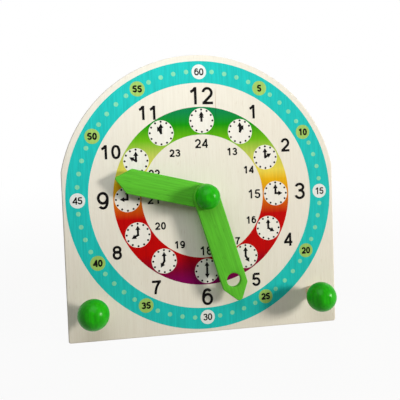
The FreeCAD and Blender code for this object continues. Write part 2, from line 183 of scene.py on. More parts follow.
class ClockHandProps(PropertyGroup):
    """Shape of the two hands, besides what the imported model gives."""
    hour_extra: length("Hour hand extra", "Its length beyond the packed solid", 1.1)
    minute_extra: length("Minute hand extra", "Its length beyond the packed solid", 1.6)
    hour_point: length("Hour hand point", "Length of its taper", 11.0)
    minute_point: length("Minute hand point", "Length of its taper", 12.6)
    hour_tip: length("Hour hand tip", "Its radius", 1.6)
    minute_tip: length("Minute hand tip", "Its radius", 3.0)
    finger_hole: length("Finger hole", "Radius of the hole in the minute hand", 5.6)
    hole_inset: length("Finger hole inset", "Its centre from the packed solid's tip", 15.9)
    pipe_bore: length("Pipe bore", "Radius in the hour hand", 4.52)
    arbor_bore: length("Arbor bore", "Radius in the minute hand", 2.52)
    edge_round: length("Sanded edges", "Their radius", 0.6)
    shoulder_round: length("Shoulder round", "Radius where the point begins", 3.0)


class ClockBallProps(PropertyGroup):
    """Shape of the balls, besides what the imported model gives."""
    knob_radius: length("Knob", "Its radius", 9.65)
    knob_bore: length("Knob bore", "Its radius", 2.52)
    ball_radius: length("Ball", "Radius of each corner ball", 11.75)
    ball_bore: length("Ball bore", "Its radius", 3.02)
    knob_dimple: length("Knob dimple", "Its depth over the arbor's end", 0.35)
    ball_dimple: length("Ball dimple", "Its depth over each peg's end", 0.15)
    lip_round: length("Eased lip", "Its radius", 0.8)
    seat_round: length("Eased seat", "Its radius", 0.3)


class ClockStageProps(PropertyGroup):
    """Camera and lamps, with their places in the dial frame."""
    lens: FloatProperty(name="Lens", description="Focal length in millimetres", default=44.6, min=1.0)
    camera: spot("Camera", "Where it stands", -0.06897, 0.01373, 0.39138)
    aim: spot("Aim", "Point of the dial it looks at", -0.00282, -0.00290, 0.0)
    roll: FloatProperty(name="Roll", description="Turn about the line of sight",
                        default=math.radians(2.10), subtype="ANGLE")
    side_place: spot("Side lamp", "Place of the lamp at the right", 1.039, 0.165, 0.764)
    side_size: length("Side lamp size", "Its width", 260.0)
    side_power: power("Side lamp power", "Its power", 14.3)
    side_tint: colour("Side lamp tint", "Its colour", 1.0, 0.96, 0.89)
    top_place: spot("Top lamp", "Place of the lamp above", -0.06, 0.18, 0.18)
    top_size: length("Top lamp size", "Its width", 250.0)
    top_power: power("Top lamp power", "Its power", 0.47)
    top_tint: colour("Top lamp tint", "Its colour", 0.91, 0.97, 1.0)
    back_place: spot("Back lamp", "Place of the lamp behind the board", 0.50, 0.45, -1.0)
    back_size: length("Back lamp size", "Its width", 600.0)
    back_power: power("Back lamp power", "Its power", 12.0)
    back_tint: colour("Back lamp tint", "Its colour", 1.0, 1.0, 1.0)
    room: FloatProperty(name="Room light", description="Its strength", default=0.055, min=0.0)
    room_tint: colour("Room tint", "Its colour", 1.0, 0.84, 0.66)


# ---- Shader building ----
class Signal:
    """A shader socket that takes part in arithmetic."""

    def __init__(self, nodes, socket):
        self.nodes = nodes
        self.socket = socket

    def maths(self, operation, *others):
        return self.nodes.add("ShaderNodeMath", {"operation": operation}, self, *others)

    def __add__(self, other):
        return self.maths("ADD", other)

    def __sub__(self, other):
        return self.maths("SUBTRACT", other)

    def __rsub__(self, other):
        return self.maths("MULTIPLY_ADD", -1.0, other)

    def __mul__(self, other):
        return self.maths("MULTIPLY", other)

    def __gt__(self, other):
        return self.maths("GREATER_THAN", other)

    def __abs__(self):
        return self.maths("ABSOLUTE")

    __radd__ = __add__
    __rmul__ = __mul__


class Nodes:
    """A node tree under construction."""

    def __init__(self, tree):
        self.tree = tree

    def add(self, kind, settings, *values, output=""):
        """Adds a node: its settings first, then its inputs in order, each a value or a signal.
        Gives its first output, or the one that is named."""
        node = self.tree.nodes.new(kind)
        for setting, value in settings.items():
            setattr(node, setting, value)
        for socket, value in zip([each for each in node.inputs if each.enabled], values):
            if isinstance(value, Signal):
                self.tree.links.new(value.socket, socket)
            elif value is not None:
                socket.default_value = value
        given = [each for each in node.outputs if each.enabled and output in ("", each.name)]
        return Signal(self, given[0]) if given else None

    def coordinates(self, place=DIAL):
        """Object coordinates, as seen from the frame that place stands for."""
        seen = self.add("ShaderNodeTexCoord", {}, output="Object")
        return self.add("ShaderNodeMapping", {"vector_type": "TEXTURE"}, seen,
                        place.to_translation(), place.to_euler())

    def part(self, vector, axis):
        """A vector's X, Y or Z."""
        return self.add("ShaderNodeSeparateXYZ", {}, vector, output=axis)

    def noise(self, vector, scale, detail=2.0, roughness=0.5):
        """Smooth noise, stretched by a scale for each axis."""
        stretched = self.add("ShaderNodeVectorMath", {"operation": "MULTIPLY"}, vector, scale)
        return self.add("ShaderNodeTexNoise", {}, stretched, 1.0, detail, roughness)

    def between(self, signal, low, high):
        """0 where the signal is low, 1 where it is high, and a smooth step between."""
        return self.add("ShaderNodeMapRange", {"interpolation_type": "SMOOTHSTEP"},
                        signal, low, high, 0.0, 1.0)

    def mix(self, factor, first, second):
        """first where the factor is 0, second where it is 1; each a colour or a signal."""
        ends = [each if isinstance(each, Signal) else (*each, 1.0) for each in (first, second)]
        return self.add("ShaderNodeMixRGB", {}, factor, *ends)


class Finish(Nodes):
    """A material under construction, with one principled surface."""

    def __init__(self, name, **constants):
        self.material = bpy.data.materials.new(name)
        self.material.use_nodes = True
        super().__init__(self.material.node_tree)
        self.surface = self.tree.nodes["Principled BSDF"]
        for socket, value in constants.items():
            self.surface.inputs[socket.replace("_", " ")].default_value = value

    def drive(self, socket, signal):
        self.tree.links.new(signal.socket, self.surface.inputs[socket])

    def shades(self, signal, rgb, dark, pale):
        """A colour, times dark where the signal is 0 and times pale where it is 1."""
        return self.mix(signal, shade(rgb, dark), shade(rgb, pale))

    def done(self, colour, height, depth):
        """The material: its colour, and a surface depth metres higher where the height is 1."""
        self.drive("Base Color", colour)
        self.drive("Normal", self.add("ShaderNodeBump", {}, 1.0, depth, 1.0, height))
        return self.material


def shade(rgb, factor):
    return tuple(min(1.0, channel * factor) for channel in rgb)


# ---- Finishes ----
# Noise cells in a metre along X, Y and Z: fine across the grain, long along it.
FIBRE = (1300.0, 45.0, 1300.0)
STREAK = (330.0, 9.0, 330.0)
PORE = (1700.0, 130.0, 1700.0)
LACQUER_FIBRE = (620.0, 40.0, 620.0)
LACQUER_RIPPLE = (420.0, 420.0, 420.0)
DOWEL_FIBRE = (900.0, 900.0, 18.0)
PLASTIC_CLOUD = (60.0, 60.0, 60.0)
STEEL_MARK = (2600.0, 2600.0, 2600.0)
FIBRE_SHARE = 0.7                # of the grain; the streaks are the rest
GRAIN_RELIEF = 0.012 * MM
PLY = 1.6 * MM                   # thickness of each layer of the plywood
WHITE_DARK, WHITE_PALE = 0.88, 0.92    # what whitened late and early wood tend to
VEIN_ASIDE = 12.6 * MM           # a vein in the wood: right of the dial centre, width, ends
VEIN_WIDTH = 0.30 * MM
VEIN_FOOT, VEIN_TOP, VEIN_FADE = 61 * MM, 85 * MM, 3 * MM


def grain_of(nodes, at):
    """Fine fibres along the frame's Y over broad streaks: 0 in late wood, 1 in early wood."""
    fibres = nodes.noise(at, FIBRE, detail=4.0, roughness=0.6)
    wood = fibres * FIBRE_SHARE + nodes.noise(at, STREAK) * (1 - FIBRE_SHARE)
    return nodes.between(wood, low=0.36, high=0.64)


def vein_of(nodes, at, strength):
    """One thin dark vein beside the 12, in the front ply alone."""
    aside = abs(nodes.part(at, "X") - VEIN_ASIDE)
    height = nodes.part(at, "Y")
    fine = 1.0 - nodes.between(aside, 0.3 * VEIN_WIDTH, VEIN_WIDTH)
    along = nodes.between(height, VEIN_FOOT - VEIN_FADE, VEIN_FOOT + VEIN_FADE)
    along = along * (1.0 - nodes.between(height, VEIN_TOP - VEIN_FADE, VEIN_TOP + VEIN_FADE))
    return fine * along * (nodes.part(at, "Z") > -PLY) * strength


def pores_of(nodes, at, strength):
    """Short dark dashes along the frame's Y."""
    dashes = nodes.noise(at, PORE, detail=1.0, roughness=0.4)
    return nodes.between(dashes, low=0.68, high=0.78) * strength


def birch_finish(wood, name="birch", whiten=0.0):
    """Clear lacquered birch ply: straight grain on its faces, cross plies on its edges."""
    finish = Finish(name, Roughness=0.55, Specular_IOR_Level=0.12)
    at = finish.coordinates()
    grain = grain_of(finish, at)
    dark = [channel + (WHITE_DARK - channel) * whiten for channel in wood.birch_dark]
    pale = [channel + (WHITE_PALE - channel) * whiten for channel in wood.birch_pale]
    bare = finish.mix(grain, dark, pale)
    face = finish.mix(pores_of(finish, at, strength=0.25), bare, wood.cross_ply)
    face = finish.mix(vein_of(finish, at, strength=0.6), face, wood.cross_ply)
    depth = finish.part(at, "Z").maths("PINGPONG", PLY)
    crossed = finish.between(depth, low=0.47 * PLY, high=0.53 * PLY)
    edge = finish.mix(crossed, bare, wood.cross_ply)
    normal = finish.add("ShaderNodeTexCoord", {}, output="Normal")
    facing = abs(finish.add("ShaderNodeVectorMath", {"operation": "DOT_PRODUCT"}, normal, DIAL_OUT))
    face_on = finish.between(facing, low=0.45, high=0.75)
    return finish.done(finish.mix(face_on, edge, face), grain, GRAIN_RELIEF)


def ink_finish(name, rgb, show=0.10):
    """Ink that lets the wood's grain show a little."""
    finish = Finish(name, Roughness=0.5, Specular_IOR_Level=0.05)
    grain = grain_of(finish, finish.coordinates())
    return finish.done(finish.shades(grain, rgb, 1 - show, 1 + show), grain, GRAIN_RELIEF)


def rainbow_finish(ink, radius, show=0.14):
    """The band's colours, which change with height in millimetres over the whole dial."""
    finish = Finish("rainbow ink", Roughness=0.5, Specular_IOR_Level=0.05)
    at = finish.coordinates()
    heights = ((-67, ink.plum), (-58, ink.wine), (-51, ink.crimson), (-45, ink.red), (-16, ink.red),
               (-8, ink.orange), (12, ink.amber), (20, ink.yellow), (34, ink.pale_lime),
               (45, ink.leaf), (57, ink.green), (68, ink.deep_green))
    colours = finish.add("ShaderNodeValToRGB", {}, (finish.part(at, "Y") * (1 / radius) + 1.0) * 0.5)
    stops = colours.socket.node.color_ramp.elements
    while len(stops) < len(heights):
        stops.new(0.5)
    for stop, (height, rgb) in zip(stops, heights):
        stop.position = (height * MM / radius + 1) / 2
        stop.color = (*rgb, 1.0)
    grain = grain_of(finish, at)
    shown = (1.0 - grain) * show + vein_of(finish, at, strength=0.4)
    return finish.done(finish.mix(shown, colours, (0.0, 0.0, 0.0)), grain, GRAIN_RELIEF)


def stained_finish(name, rgb, place):
    """Green stain on wood whose grain runs along the hand."""
    finish = Finish(name, Roughness=0.5, Specular_IOR_Level=0.15)
    at = finish.coordinates(place)
    grain = grain_of(finish, at)
    stained = finish.shades(grain, rgb, dark=0.90, pale=1.12)
    pores = pores_of(finish, at, strength=0.6)
    return finish.done(finish.mix(pores, stained, shade(rgb, factor=0.45)), grain, 2 * GRAIN_RELIEF)


def lacquer_finish(rgb):
    """Thick gloss lacquer, a little uneven, over wood whose grain still shows in it."""
    finish = Finish("green lacquer", Roughness=0.5, Specular_IOR_Level=0.12,
                    Specular_Tint=(0.10, 1.0, 0.05, 1.0), Coat_Weight=0.26, Coat_Roughness=0.24)
    at = finish.coordinates()
    fibres = finish.noise(at, LACQUER_FIBRE, detail=3.0, roughness=0.6)
    streaks = finish.between(fibres, low=0.35, high=0.65)
    ripple = finish.noise(at, LACQUER_RIPPLE, detail=1.0, roughness=0.4)
    return finish.done(finish.shades(streaks, rgb, dark=0.84, pale=1.12), ripple, depth=0.02 * MM)


def dowel_finish(rgb):
    """Bare dowel, its grain along the dial's Z."""
    finish = Finish("bare dowel", Roughness=0.6, Specular_IOR_Level=0.2)
    fibres = finish.noise(finish.coordinates(), DOWEL_FIBRE, detail=4.0, roughness=0.6)
    streaks = finish.between(fibres, low=0.35, high=0.65)
    return finish.done(finish.shades(streaks, rgb, dark=0.78, pale=1.1), fibres, depth=0.03 * MM)


def plastic_finish(name, rgb, roughness, texture, depth):
    """Moulded plastic with a fine even texture, of so many cells in a metre."""
    finish = Finish(name, Roughness=roughness, Specular_IOR_Level=0.4)
    at = finish.coordinates()
    clouded = finish.shades(finish.noise(at, PLASTIC_CLOUD), rgb, dark=0.95, pale=1.04)
    return finish.done(clouded, finish.noise(at, (texture, texture, texture)), depth)


def steel_finish(name, rgb, roughness):
    """Steel with fine marks, by up to 0.2 rougher where they are."""
    finish = Finish(name, Metallic=1.0)
    marks = finish.noise(finish.coordinates(), STEEL_MARK, detail=3.0, roughness=0.6)
    finish.drive("Roughness", marks * 0.2 + roughness)
    return finish.done(finish.shades(marks, rgb, dark=0.88, pale=1.10), marks, depth=0.004 * MM)


# ---- Piece building ----
def mesh_of(bm, name):
    """A finished shape as a mesh; the bmesh ends here."""
    mesh = bpy.data.meshes.new(name)
    bm.to_mesh(mesh)
    bm.free()
    return mesh


def into_scene(name, data):
    """A new object of the scene, at the scene's origin."""
    made = bpy.data.objects.new(name, data)
    bpy.context.scene.collection.objects.link(made)
    return made


def evaluated_mesh(source):
    """The mesh that an object's curve or modifier gives; the object itself goes."""
    evaluated = source.evaluated_get(bpy.context.evaluated_depsgraph_get())
    mesh = bpy.data.meshes.new_from_object(evaluated)
    bpy.data.objects.remove(source)
    return mesh


def piece_from(bm, name, place, body, finish):
    """Makes a piece of a finished shape: closed, faces outward, its place in its mesh."""
    bmesh.ops.remove_doubles(bm, verts=bm.verts, dist=MERGE)
    bmesh.ops.recalc_face_normals(bm, faces=bm.faces)
    if bm.calc_volume(signed=True) < 0.0:    # recalculating can turn a shape inside out
        bmesh.ops.reverse_faces(bm, faces=bm.faces)
    bmesh.ops.transform(bm, matrix=place, verts=bm.verts)
    mesh = mesh_of(bm, name)
    mesh.shade_smooth()
    mesh.set_sharp_from_angle(angle=SMOOTH_LIMIT)
    mesh.materials.append(finish)
    piece = into_scene(name, mesh)
    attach(piece, body)
    return piece


def print_on_dial(bm, name, finish):
    """A printed layer of the dial, which belongs to the board."""
    return piece_from(bm, name, DIAL, "clock_body", finish)


def raise_faces(bm, faces, height):
    """Turns flat faces into closed solids of that height."""
    grown = bmesh.ops.extrude_face_region(bm, geom=faces, use_keep_orig=True)["geom"]
    tops = [each for each in grown if isinstance(each, bmesh.types.BMVert)]
    bmesh.ops.translate(bm, verts=tops, vec=(0.0, 0.0, height))


def add_disc(bm, centre, radius, low, high, sides):
    """A flat disc about a point of the dial."""
    place = Matrix.Translation((centre.x, centre.y, low))
    rim = bmesh.ops.create_circle(bm, cap_ends=True, radius=radius, segments=sides, matrix=place)
    raise_faces(bm, rim["verts"][0].link_faces[:], high - low)


def add_ring(bm, inner, outer, low, high, sides):
    """A flat ring about the dial centre, spun from its section."""
    corners = [(inner, low), (outer, low), (outer, high), (inner, high)]
    section = [bm.verts.new((radius, 0.0, height)) for radius, height in corners]
    sides_of = [bm.edges.new((section[index - 1], section[index])) for index in range(4)]
    bmesh.ops.spin(bm, geom=section + sides_of, cent=(0, 0, 0), axis=(0, 0, 1),
                   angle=math.tau, steps=sides, use_merge=True)


def on_dial(angle, radius, rise=0.0):
    """A point of the dial, at an angle clockwise from 12, on a circle that sits above centre."""
    turn = math.radians(angle)
    return Vector((radius * math.sin(turn), radius * math.cos(turn) + rise, 0.0))


# ---- Numerals, drawn with strokes of even weight ----
DIGIT_BOX = 0.655                # a digit's width, in numeral heights
MIDDLE = DIGIT_BOX / 2
DIGIT_STEP = 0.777               # from one digit to the next
MINUTE_STEP = 0.68               # the same, in the minute numerals
ARC_STEP = 9.0                   # degrees between points along a bowl
STROKE_MERGE = 1e-5              # as MERGE, within a stroke, in numeral heights
QUARTER_HOUR_WEIGHT = 0.152      # stroke weights, in numeral heights
HOUR_WEIGHT = 0.172
DAY_QUARTER_WEIGHT = 0.17
DAY_WEIGHT = 0.20
QUARTER_WEIGHT = 0.18
FIVE_WEIGHT = 0.24


class Pen:
    """Draws strokes as thin solids, in a digit's box of unit height."""

    def __init__(self, weight):
        self.half = weight / 2
        self.strokes = []

    def keep(self, bm):
        """Makes a stroke's face solid and adds it to the strokes."""
        bmesh.ops.remove_doubles(bm, verts=bm.verts, dist=STROKE_MERGE)
        raise_faces(bm, bm.faces[:], 1.0)
        bmesh.ops.recalc_face_normals(bm, faces=bm.faces)
        self.strokes.append(bm)

    def bar(self, start, end):
        """A straight stroke."""
        start, end = Vector((*start, 0.0)), Vector((*end, 0.0))
        across = Vector((start.y - end.y, end.x - start.x, 0.0)).normalized() * self.half
        bm = bmesh.new()
        bm.faces.new([bm.verts.new(point) for point in
                      (start - across, end - across, end + across, start + across)])
        self.keep(bm)

    def bowl(self, centre, wide, high, start=90.0, end=450.0):
        """A stroke along an oval of four smooth arcs, from one outward direction to another."""
        turn = 45.0 * wide / high if wide < high else 90.0 - 45.0 * high / wide
        cos, sin = math.cos(math.radians(turn)), math.sin(math.radians(turn))
        side = (high - wide * (1 - sin) / cos) / (sin - (1 - sin) * (1 - cos) / cos)
        cap = (wide - side * (1 - cos)) / cos
        joins = [half * 180.0 + sign * turn for half in range(-3, 4) for sign in (-1, 1)]
        low, top = min(start, end), max(start, end)
        stops = sorted([low, top] + [join for join in joins if low < join < top])
        if end < start:
            stops.reverse()
        bm = bmesh.new()
        geom = None
        for here, there in zip(stops, stops[1:]):
            middle = math.radians((here + there) / 2)
            if abs(math.cos(middle)) > cos:
                offset, radius = Vector((math.copysign(1, math.cos(middle)), 0, 0)) * (wide - side), side
            else:
                offset, radius = Vector((0, math.copysign(1, math.sin(middle)), 0)) * (high - cap), cap
            pivot = Vector((*centre, 0.0)) + offset
            if geom is None:
                outward = Vector((math.cos(math.radians(here)), math.sin(math.radians(here)), 0.0))
                nib = [bm.verts.new(pivot + outward * (radius + edge)) for edge in (-self.half, self.half)]
                geom = nib + [bm.edges.new(nib)]
            steps = math.ceil(abs(there - here) / ARC_STEP)
            geom = bmesh.ops.spin(bm, geom=geom, cent=pivot, axis=(0, 0, 1),
                                  angle=math.radians(there - here), steps=steps)["geom_last"]
        self.keep(bm)

    def joined(self, name):
        """All the strokes as one closed mesh."""
        first, *rest = [mesh_of(bm, name) for bm in self.strokes]
        whole = into_scene(name, first)
        others = bpy.data.collections.new(name)
        for mesh in rest:
            others.objects.link(bpy.data.objects.new(name, mesh))
        if rest:
            union = whole.modifiers.new("joined", "BOOLEAN")
            union.operation, union.solver, union.operand_type = "UNION", "EXACT", "COLLECTION"
            union.collection = others
        digit = evaluated_mesh(whole)
        for other in others.objects[:]:
            bpy.data.objects.remove(other)
        bpy.data.collections.remove(others)
        return digit


def draw_zero(pen):
    pen.bowl((MIDDLE, 0.5), MIDDLE - pen.half, 0.5 - pen.half)


def draw_one(pen):
    stem = 0.40
    pen.bar((stem, 0.0), (stem, 1.0))
    pen.bowl((stem - 0.44, 1.17), 0.475, 0.475, -27.6, -71.0)


def draw_two(pen):
    half = pen.half
    across, down = MIDDLE - half, 0.26
    crown = (MIDDLE, 1.0 - half - down)
    pen.bowl(crown, across, down, 172.0, -45.0)
    pen.bar((MIDDLE + across * 0.72, crown[1] - down * 0.70), (0.09, half))
    pen.bar((0.03, half), (DIGIT_BOX, half))


def draw_three(pen):
    half, waist = pen.half, 0.5375
    top, bottom = (1.0 - half - waist) / 2, (waist - half) / 2
    pen.bowl((MIDDLE, waist + top), MIDDLE - half - 0.025, top, 165.0, -90.0)
    pen.bar((MIDDLE, waist), (MIDDLE - 0.07, waist))
    pen.bowl((MIDDLE, half + bottom), MIDDLE - half, bottom, 90.0, -165.0)


def draw_four(pen):
    half, stem, bar = pen.half, 0.49, 0.29
    pen.bar((stem, 0.0), (stem, 1.0))
    pen.bar((0.0, bar), (DIGIT_BOX, bar))
    pen.bar((0.8 * half, bar + 0.055 - 0.6 * half), (stem - 0.06 + 0.8 * half, 1.0 - 0.6 * half))


def draw_five(pen):
    half = pen.half
    belly = 0.335 - half
    pen.bar((0.16, 1.0 - half), (0.60, 1.0 - half))
    pen.bar((0.165, 1.0 - half), (0.115, 0.49))
    pen.bowl((MIDDLE - 0.005, half + belly), MIDDLE - half, belly, 140.0, -165.0)


def draw_six(pen):
    half = pen.half
    belly = 0.36 - half
    pen.bowl((MIDDLE, half + belly), MIDDLE - half, belly)
    pen.bar((half, half + belly), (half, 0.5))
    pen.bowl((MIDDLE, 0.5), MIDDLE - half, 0.5 - half, 180.0, 28.0)


def draw_seven(pen):
    half, foot, sweep = pen.half, 0.235, 1.41
    pen.bar((0.0, 1.0 - half), (DIGIT_BOX, 1.0 - half))
    pen.bowl((foot + sweep, 0.0), sweep, sweep, 180.0, 138.8)


def draw_eight(pen):
    half, top, bottom = pen.half, 0.2, 0.2375
    pen.bowl((MIDDLE, 1.0 - half - top), MIDDLE - half - 0.02, top)
    pen.bowl((MIDDLE, half + bottom), MIDDLE - half, bottom)


def draw_nine(pen):
    """A six, turned half round."""
    draw_six(pen)
    for stroke in pen.strokes:
        bmesh.ops.rotate(stroke, verts=stroke.verts, cent=(MIDDLE, 0.5, 0.0),
                         matrix=Matrix.Rotation(math.pi, 3, "Z"))


DRAW_DIGIT = (draw_zero, draw_one, draw_two, draw_three, draw_four, draw_five, draw_six,
              draw_seven, draw_eight, draw_nine)


def type_face(weight):
    """The ten digits of one weight, as meshes of unit height and unit thickness."""
    digits = []
    for index, draw in enumerate(DRAW_DIGIT):
        pen = Pen(weight)
        draw(pen)
        digits.append(pen.joined(f"digit_{index}"))
    return digits


def add_numeral(bm, text, digits, centre, height, low, high, step=DIGIT_STEP):
    """Sets a number upright on the dial, centred on a point."""
    start = -(step * (len(text) - 1) + DIGIT_BOX) / 2
    for index, character in enumerate(text):
        known = len(bm.verts)
        bm.from_mesh(digits[int(character)])
        left = centre.x + height * (start + step * index)
        place = (Matrix.Translation((left, centre.y - height / 2, low))
                 @ Matrix.Diagonal((height, height, high - low, 1.0)))
        bmesh.ops.transform(bm, matrix=place, verts=bm.verts[known:])


# Centres of the numerals on the dial, in millimetres right of and above its centre.
HOURS = {"12": (0.8, 80.1), "1": (43.0, 66.9), "2": (69.8, 39.4), "3": (81.2, 1.0),
         "4": (70.0, -38.7), "5": (41.6, -70.2), "6": (0.5, -81.4), "7": (-40.3, -70.8),
         "8": (-70.0, -41.4), "9": (-79.2, -0.2), "10": (-71.9, 37.2), "11": (-41.8, 67.1)}
DAY_HOURS = {"24": (0.0, 42.2), "13": (24.8, 35.1), "14": (38.1, 20.1), "15": (42.1, 0.2),
             "16": (38.9, -20.9), "17": (24.8, -37.4), "18": (0.7, -44.0), "19": (-20.6, -37.9),
             "20": (-35.3, -22.1), "21": (-39.7, -0.8), "22": (-38.5, 19.6), "23": (-21.6, 35.1)}
# Clockwise from 12 to each small clock on the right-hand side; the left side mirrors it.
SMALL_CLOCK_ANGLES = (0.7, 32.0, 60.4, 90.0, 118.0, 146.4, 179.1)


def add_arrow(bm, centre, angle, reach, low, high):
    """A small printed hand: a straight shaft with a broad head."""
    shaft, head, barb = 0.85 * MM, 3.5 * MM, 2.0 * MM
    half = [(shaft, -shaft), (shaft, reach - head), (barb, reach - head)]
    outline = half + [(0.0, reach)] + [(-x, y) for x, y in reversed(half)]
    turn = Matrix.Translation((centre.x, centre.y, low)) @ Matrix.Rotation(-math.radians(angle), 4, "Z")
    face = bm.faces.new([bm.verts.new(turn @ Vector((x, y, 0.0))) for x, y in outline])
    raise_faces(bm, [face], high - low)


# ---- Hands ----
def add_loop(curve, corners):
    """Adds a closed outline of (corner, radius) pairs, each rounded by one arc."""
    spline = curve.splines.new("BEZIER")
    spline.use_cyclic_u = True
    spline.bezier_points.add(2 * len(corners) - 1)
    points = spline.bezier_points
    for index, (corner, radius) in enumerate(corners):
        back = (corners[index - 1][0] - corner).normalized()
        ahead = (corners[(index + 1) % len(corners)][0] - corner).normalized()
        half_angle = back.angle(ahead) / 2
        setback = radius / math.tan(half_angle)
        pull = radius * 4 / 3 * math.tan((math.pi - 2 * half_angle) / 4)
        for point, way in ((points[2 * index], back), (points[2 * index + 1], ahead)):
            point.handle_left_type = point.handle_right_type = "FREE"
            point.co = corner + way * setback
        points[2 * index].handle_right = points[2 * index].co - back * pull
        points[2 * index + 1].handle_left = points[2 * index + 1].co - ahead * pull
    for index in range(0, len(points), 2):
        before, after = points[index - 1], points[index]
        before.handle_right = before.co.lerp(after.co, 1 / 3)
        after.handle_left = after.co.lerp(before.co, 1 / 3)


def blade(hands, node, place, extra, point, tip_round, holes):
    """A flat hand along the frame's Y: round hub, tapered point and sanded edges."""
    low, high = extent(node, place)
    side, tip = high.x, high.y + extra
    shoulder = tip - point
    peak = tip + tip_round * (math.hypot(side, point) / side - 1)
    curve = bpy.data.curves.new(node, "CURVE")
    curve.dimensions = "2D"
    curve.fill_mode = "BOTH"
    curve.resolution_u = 10
    curve.bevel_depth = hands.edge_round
    curve.bevel_resolution = 3
    curve.offset = -hands.edge_round
    curve.extrude = (high.z - low.z) / 2 - hands.edge_round
    add_loop(curve, [(Vector((-side, -side, 0.0)), side), (Vector((side, -side, 0.0)), side),
                     (Vector((side, shoulder, 0.0)), hands.shoulder_round),
                     (Vector((0.0, peak, 0.0)), tip_round),
                     (Vector((-side, shoulder, 0.0)), hands.shoulder_round)])
    for reach, radius in holes:    # each a square that rounds into a circle
        add_loop(curve, [(Vector((x * radius, reach + y * radius, 0.0)), radius)
                         for x, y in ((-1, -1), (1, -1), (1, 1), (-1, 1))])
    bm = bmesh.new()
    bm.from_mesh(evaluated_mesh(into_scene(node, curve)))
    bmesh.ops.translate(bm, verts=bm.verts, vec=(0.0, 0.0, (low.z + high.z) / 2))
    return bm


# ---- Balls ----
def ball(balls, node, dowel, radius, bore, dimple):
    """A ball on its dowel, turned about the dowel's axis: a flat seat behind, and in front a dimple
    where the lacquer runs over the dowel's end."""
    low, high = extent(node, DIAL)
    axis = Vector(((low.x + high.x) / 2, (low.y + high.y) / 2, 0.0))
    dowel_end = extent(dowel, DIAL)[1].z
    mouth = math.asin(bore / radius)
    centre = axis + Vector((0.0, 0.0, high.z - radius * math.cos(mouth)))
    seat = math.acos((low.z - centre.z) / radius)
    bm = bmesh.new()
    lip = bm.verts.new(centre + radius * Vector((math.sin(mouth), 0.0, math.cos(mouth))))
    bmesh.ops.spin(bm, geom=[lip], cent=centre, axis=(0, 1, 0), angle=seat - mouth, steps=40)
    rim = min(bm.verts, key=lambda vertex: vertex.co.z)
    inner, deep, floor, crown = (bm.verts.new(axis + Vector((reach, 0.0, height))) for reach, height in
                                 ((bore, low.z), (bore, dowel_end), (0.0, dowel_end),
                                  (0.0, high.z - dimple)))
    for start, end in ((rim, inner), (inner, deep), (deep, floor), (crown, lip)):
        bm.edges.new((start, end))
    corners = ((lip.co.copy(), balls.lip_round), (rim.co.copy(), balls.seat_round))
    bmesh.ops.spin(bm, geom=bm.verts[:] + bm.edges[:], cent=axis, axis=(0, 0, 1),
                   angle=math.tau, steps=72, use_merge=True)
    bmesh.ops.remove_doubles(bm, verts=bm.verts, dist=MERGE)
    for corner, radius_of in corners:
        rings = [edge for edge in bm.edges if lies_on_ring(edge, axis, corner)]
        bmesh.ops.bevel(bm, geom=rings, affect="EDGES", offset=radius_of, segments=4, profile=0.5,
                        material=-1)
    return bm


def lies_on_ring(edge, axis, corner):
    """Whether both ends of an edge are at the corner's height and distance from the axis."""
    reach = (corner - axis).xy.length
    return all(abs(vertex.co.z - corner.z) < MERGE and abs((vertex.co - axis).xy.length - reach) < MERGE
               for vertex in edge.verts)


# ---- Operators ----
def repaint(finish, *nodes):
    """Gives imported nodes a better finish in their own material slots."""
    for name in nodes:
        slots = frame["nodes"][name].material_slots
        if not slots:
            raise RuntimeError(f"{name} has no material slot")
        for each in slots:
            each.material = finish


class CLOCK_OT_board(Operator):
    """Finish the board in clear lacquered birch"""
    bl_idname = "clock.board"
    bl_label = "Birch board"

    def execute(self, context):
        repaint(birch_finish(context.scene.clock_wood), "dial_board")
        return {"FINISHED"}


class CLOCK_OT_minute_ring(Operator):
    """Print the turquoise ring with its discs and dots"""
    bl_idname = "clock.minute_ring"
    bl_label = "Minute ring"

    def execute(self, context):
        dial, ink = context.scene.clock_dial, context.scene.clock_ink
        ring, fives, quarters, dots = (bmesh.new() for _ in range(4))
        add_ring(ring, dial.ring_inner, dial.ring_outer, -dial.sunk, dial.film, sides=180)
        for minute in range(60):
            angle = minute * MINUTE_DEGREES
            if minute % 5:
                centre = on_dial(angle, dial.dot_circle, dial.dot_rise)
                add_disc(dots, centre, dial.minute_dot, 0.0, 2 * dial.film, sides=16)
            else:
                centre = on_dial(angle, dial.minute_circle, dial.minute_rise)
                layer = fives if minute % 15 else quarters
                add_disc(layer, centre, dial.minute_disc, 0.0, 2 * dial.film, sides=48)
        print_on_dial(ring, "minute_ring", ink_finish("turquoise ink", ink.turquoise))
        print_on_dial(fives, "five_minute_discs", ink_finish("lime ink", ink.lime))
        print_on_dial(quarters, "quarter_hour_discs", ink_finish("white ink", ink.white, show=0.03))
        print_on_dial(dots, "minute_dots", ink_finish("pale green ink", ink.dot))
        return {"FINISHED"}


class CLOCK_OT_rainbow_band(Operator):
    """Print the rainbow band inside the hours"""
    bl_idname = "clock.rainbow_band"
    bl_label = "Rainbow band"

    def execute(self, context):
        dial = context.scene.clock_dial
        band = bmesh.new()
        add_ring(band, dial.band_inner, dial.band_outer, -dial.sunk, dial.film, sides=144)
        finish = rainbow_finish(context.scene.clock_ink, dial.band_outer)
        print_on_dial(band, "rainbow_band", finish)
        return {"FINISHED"}


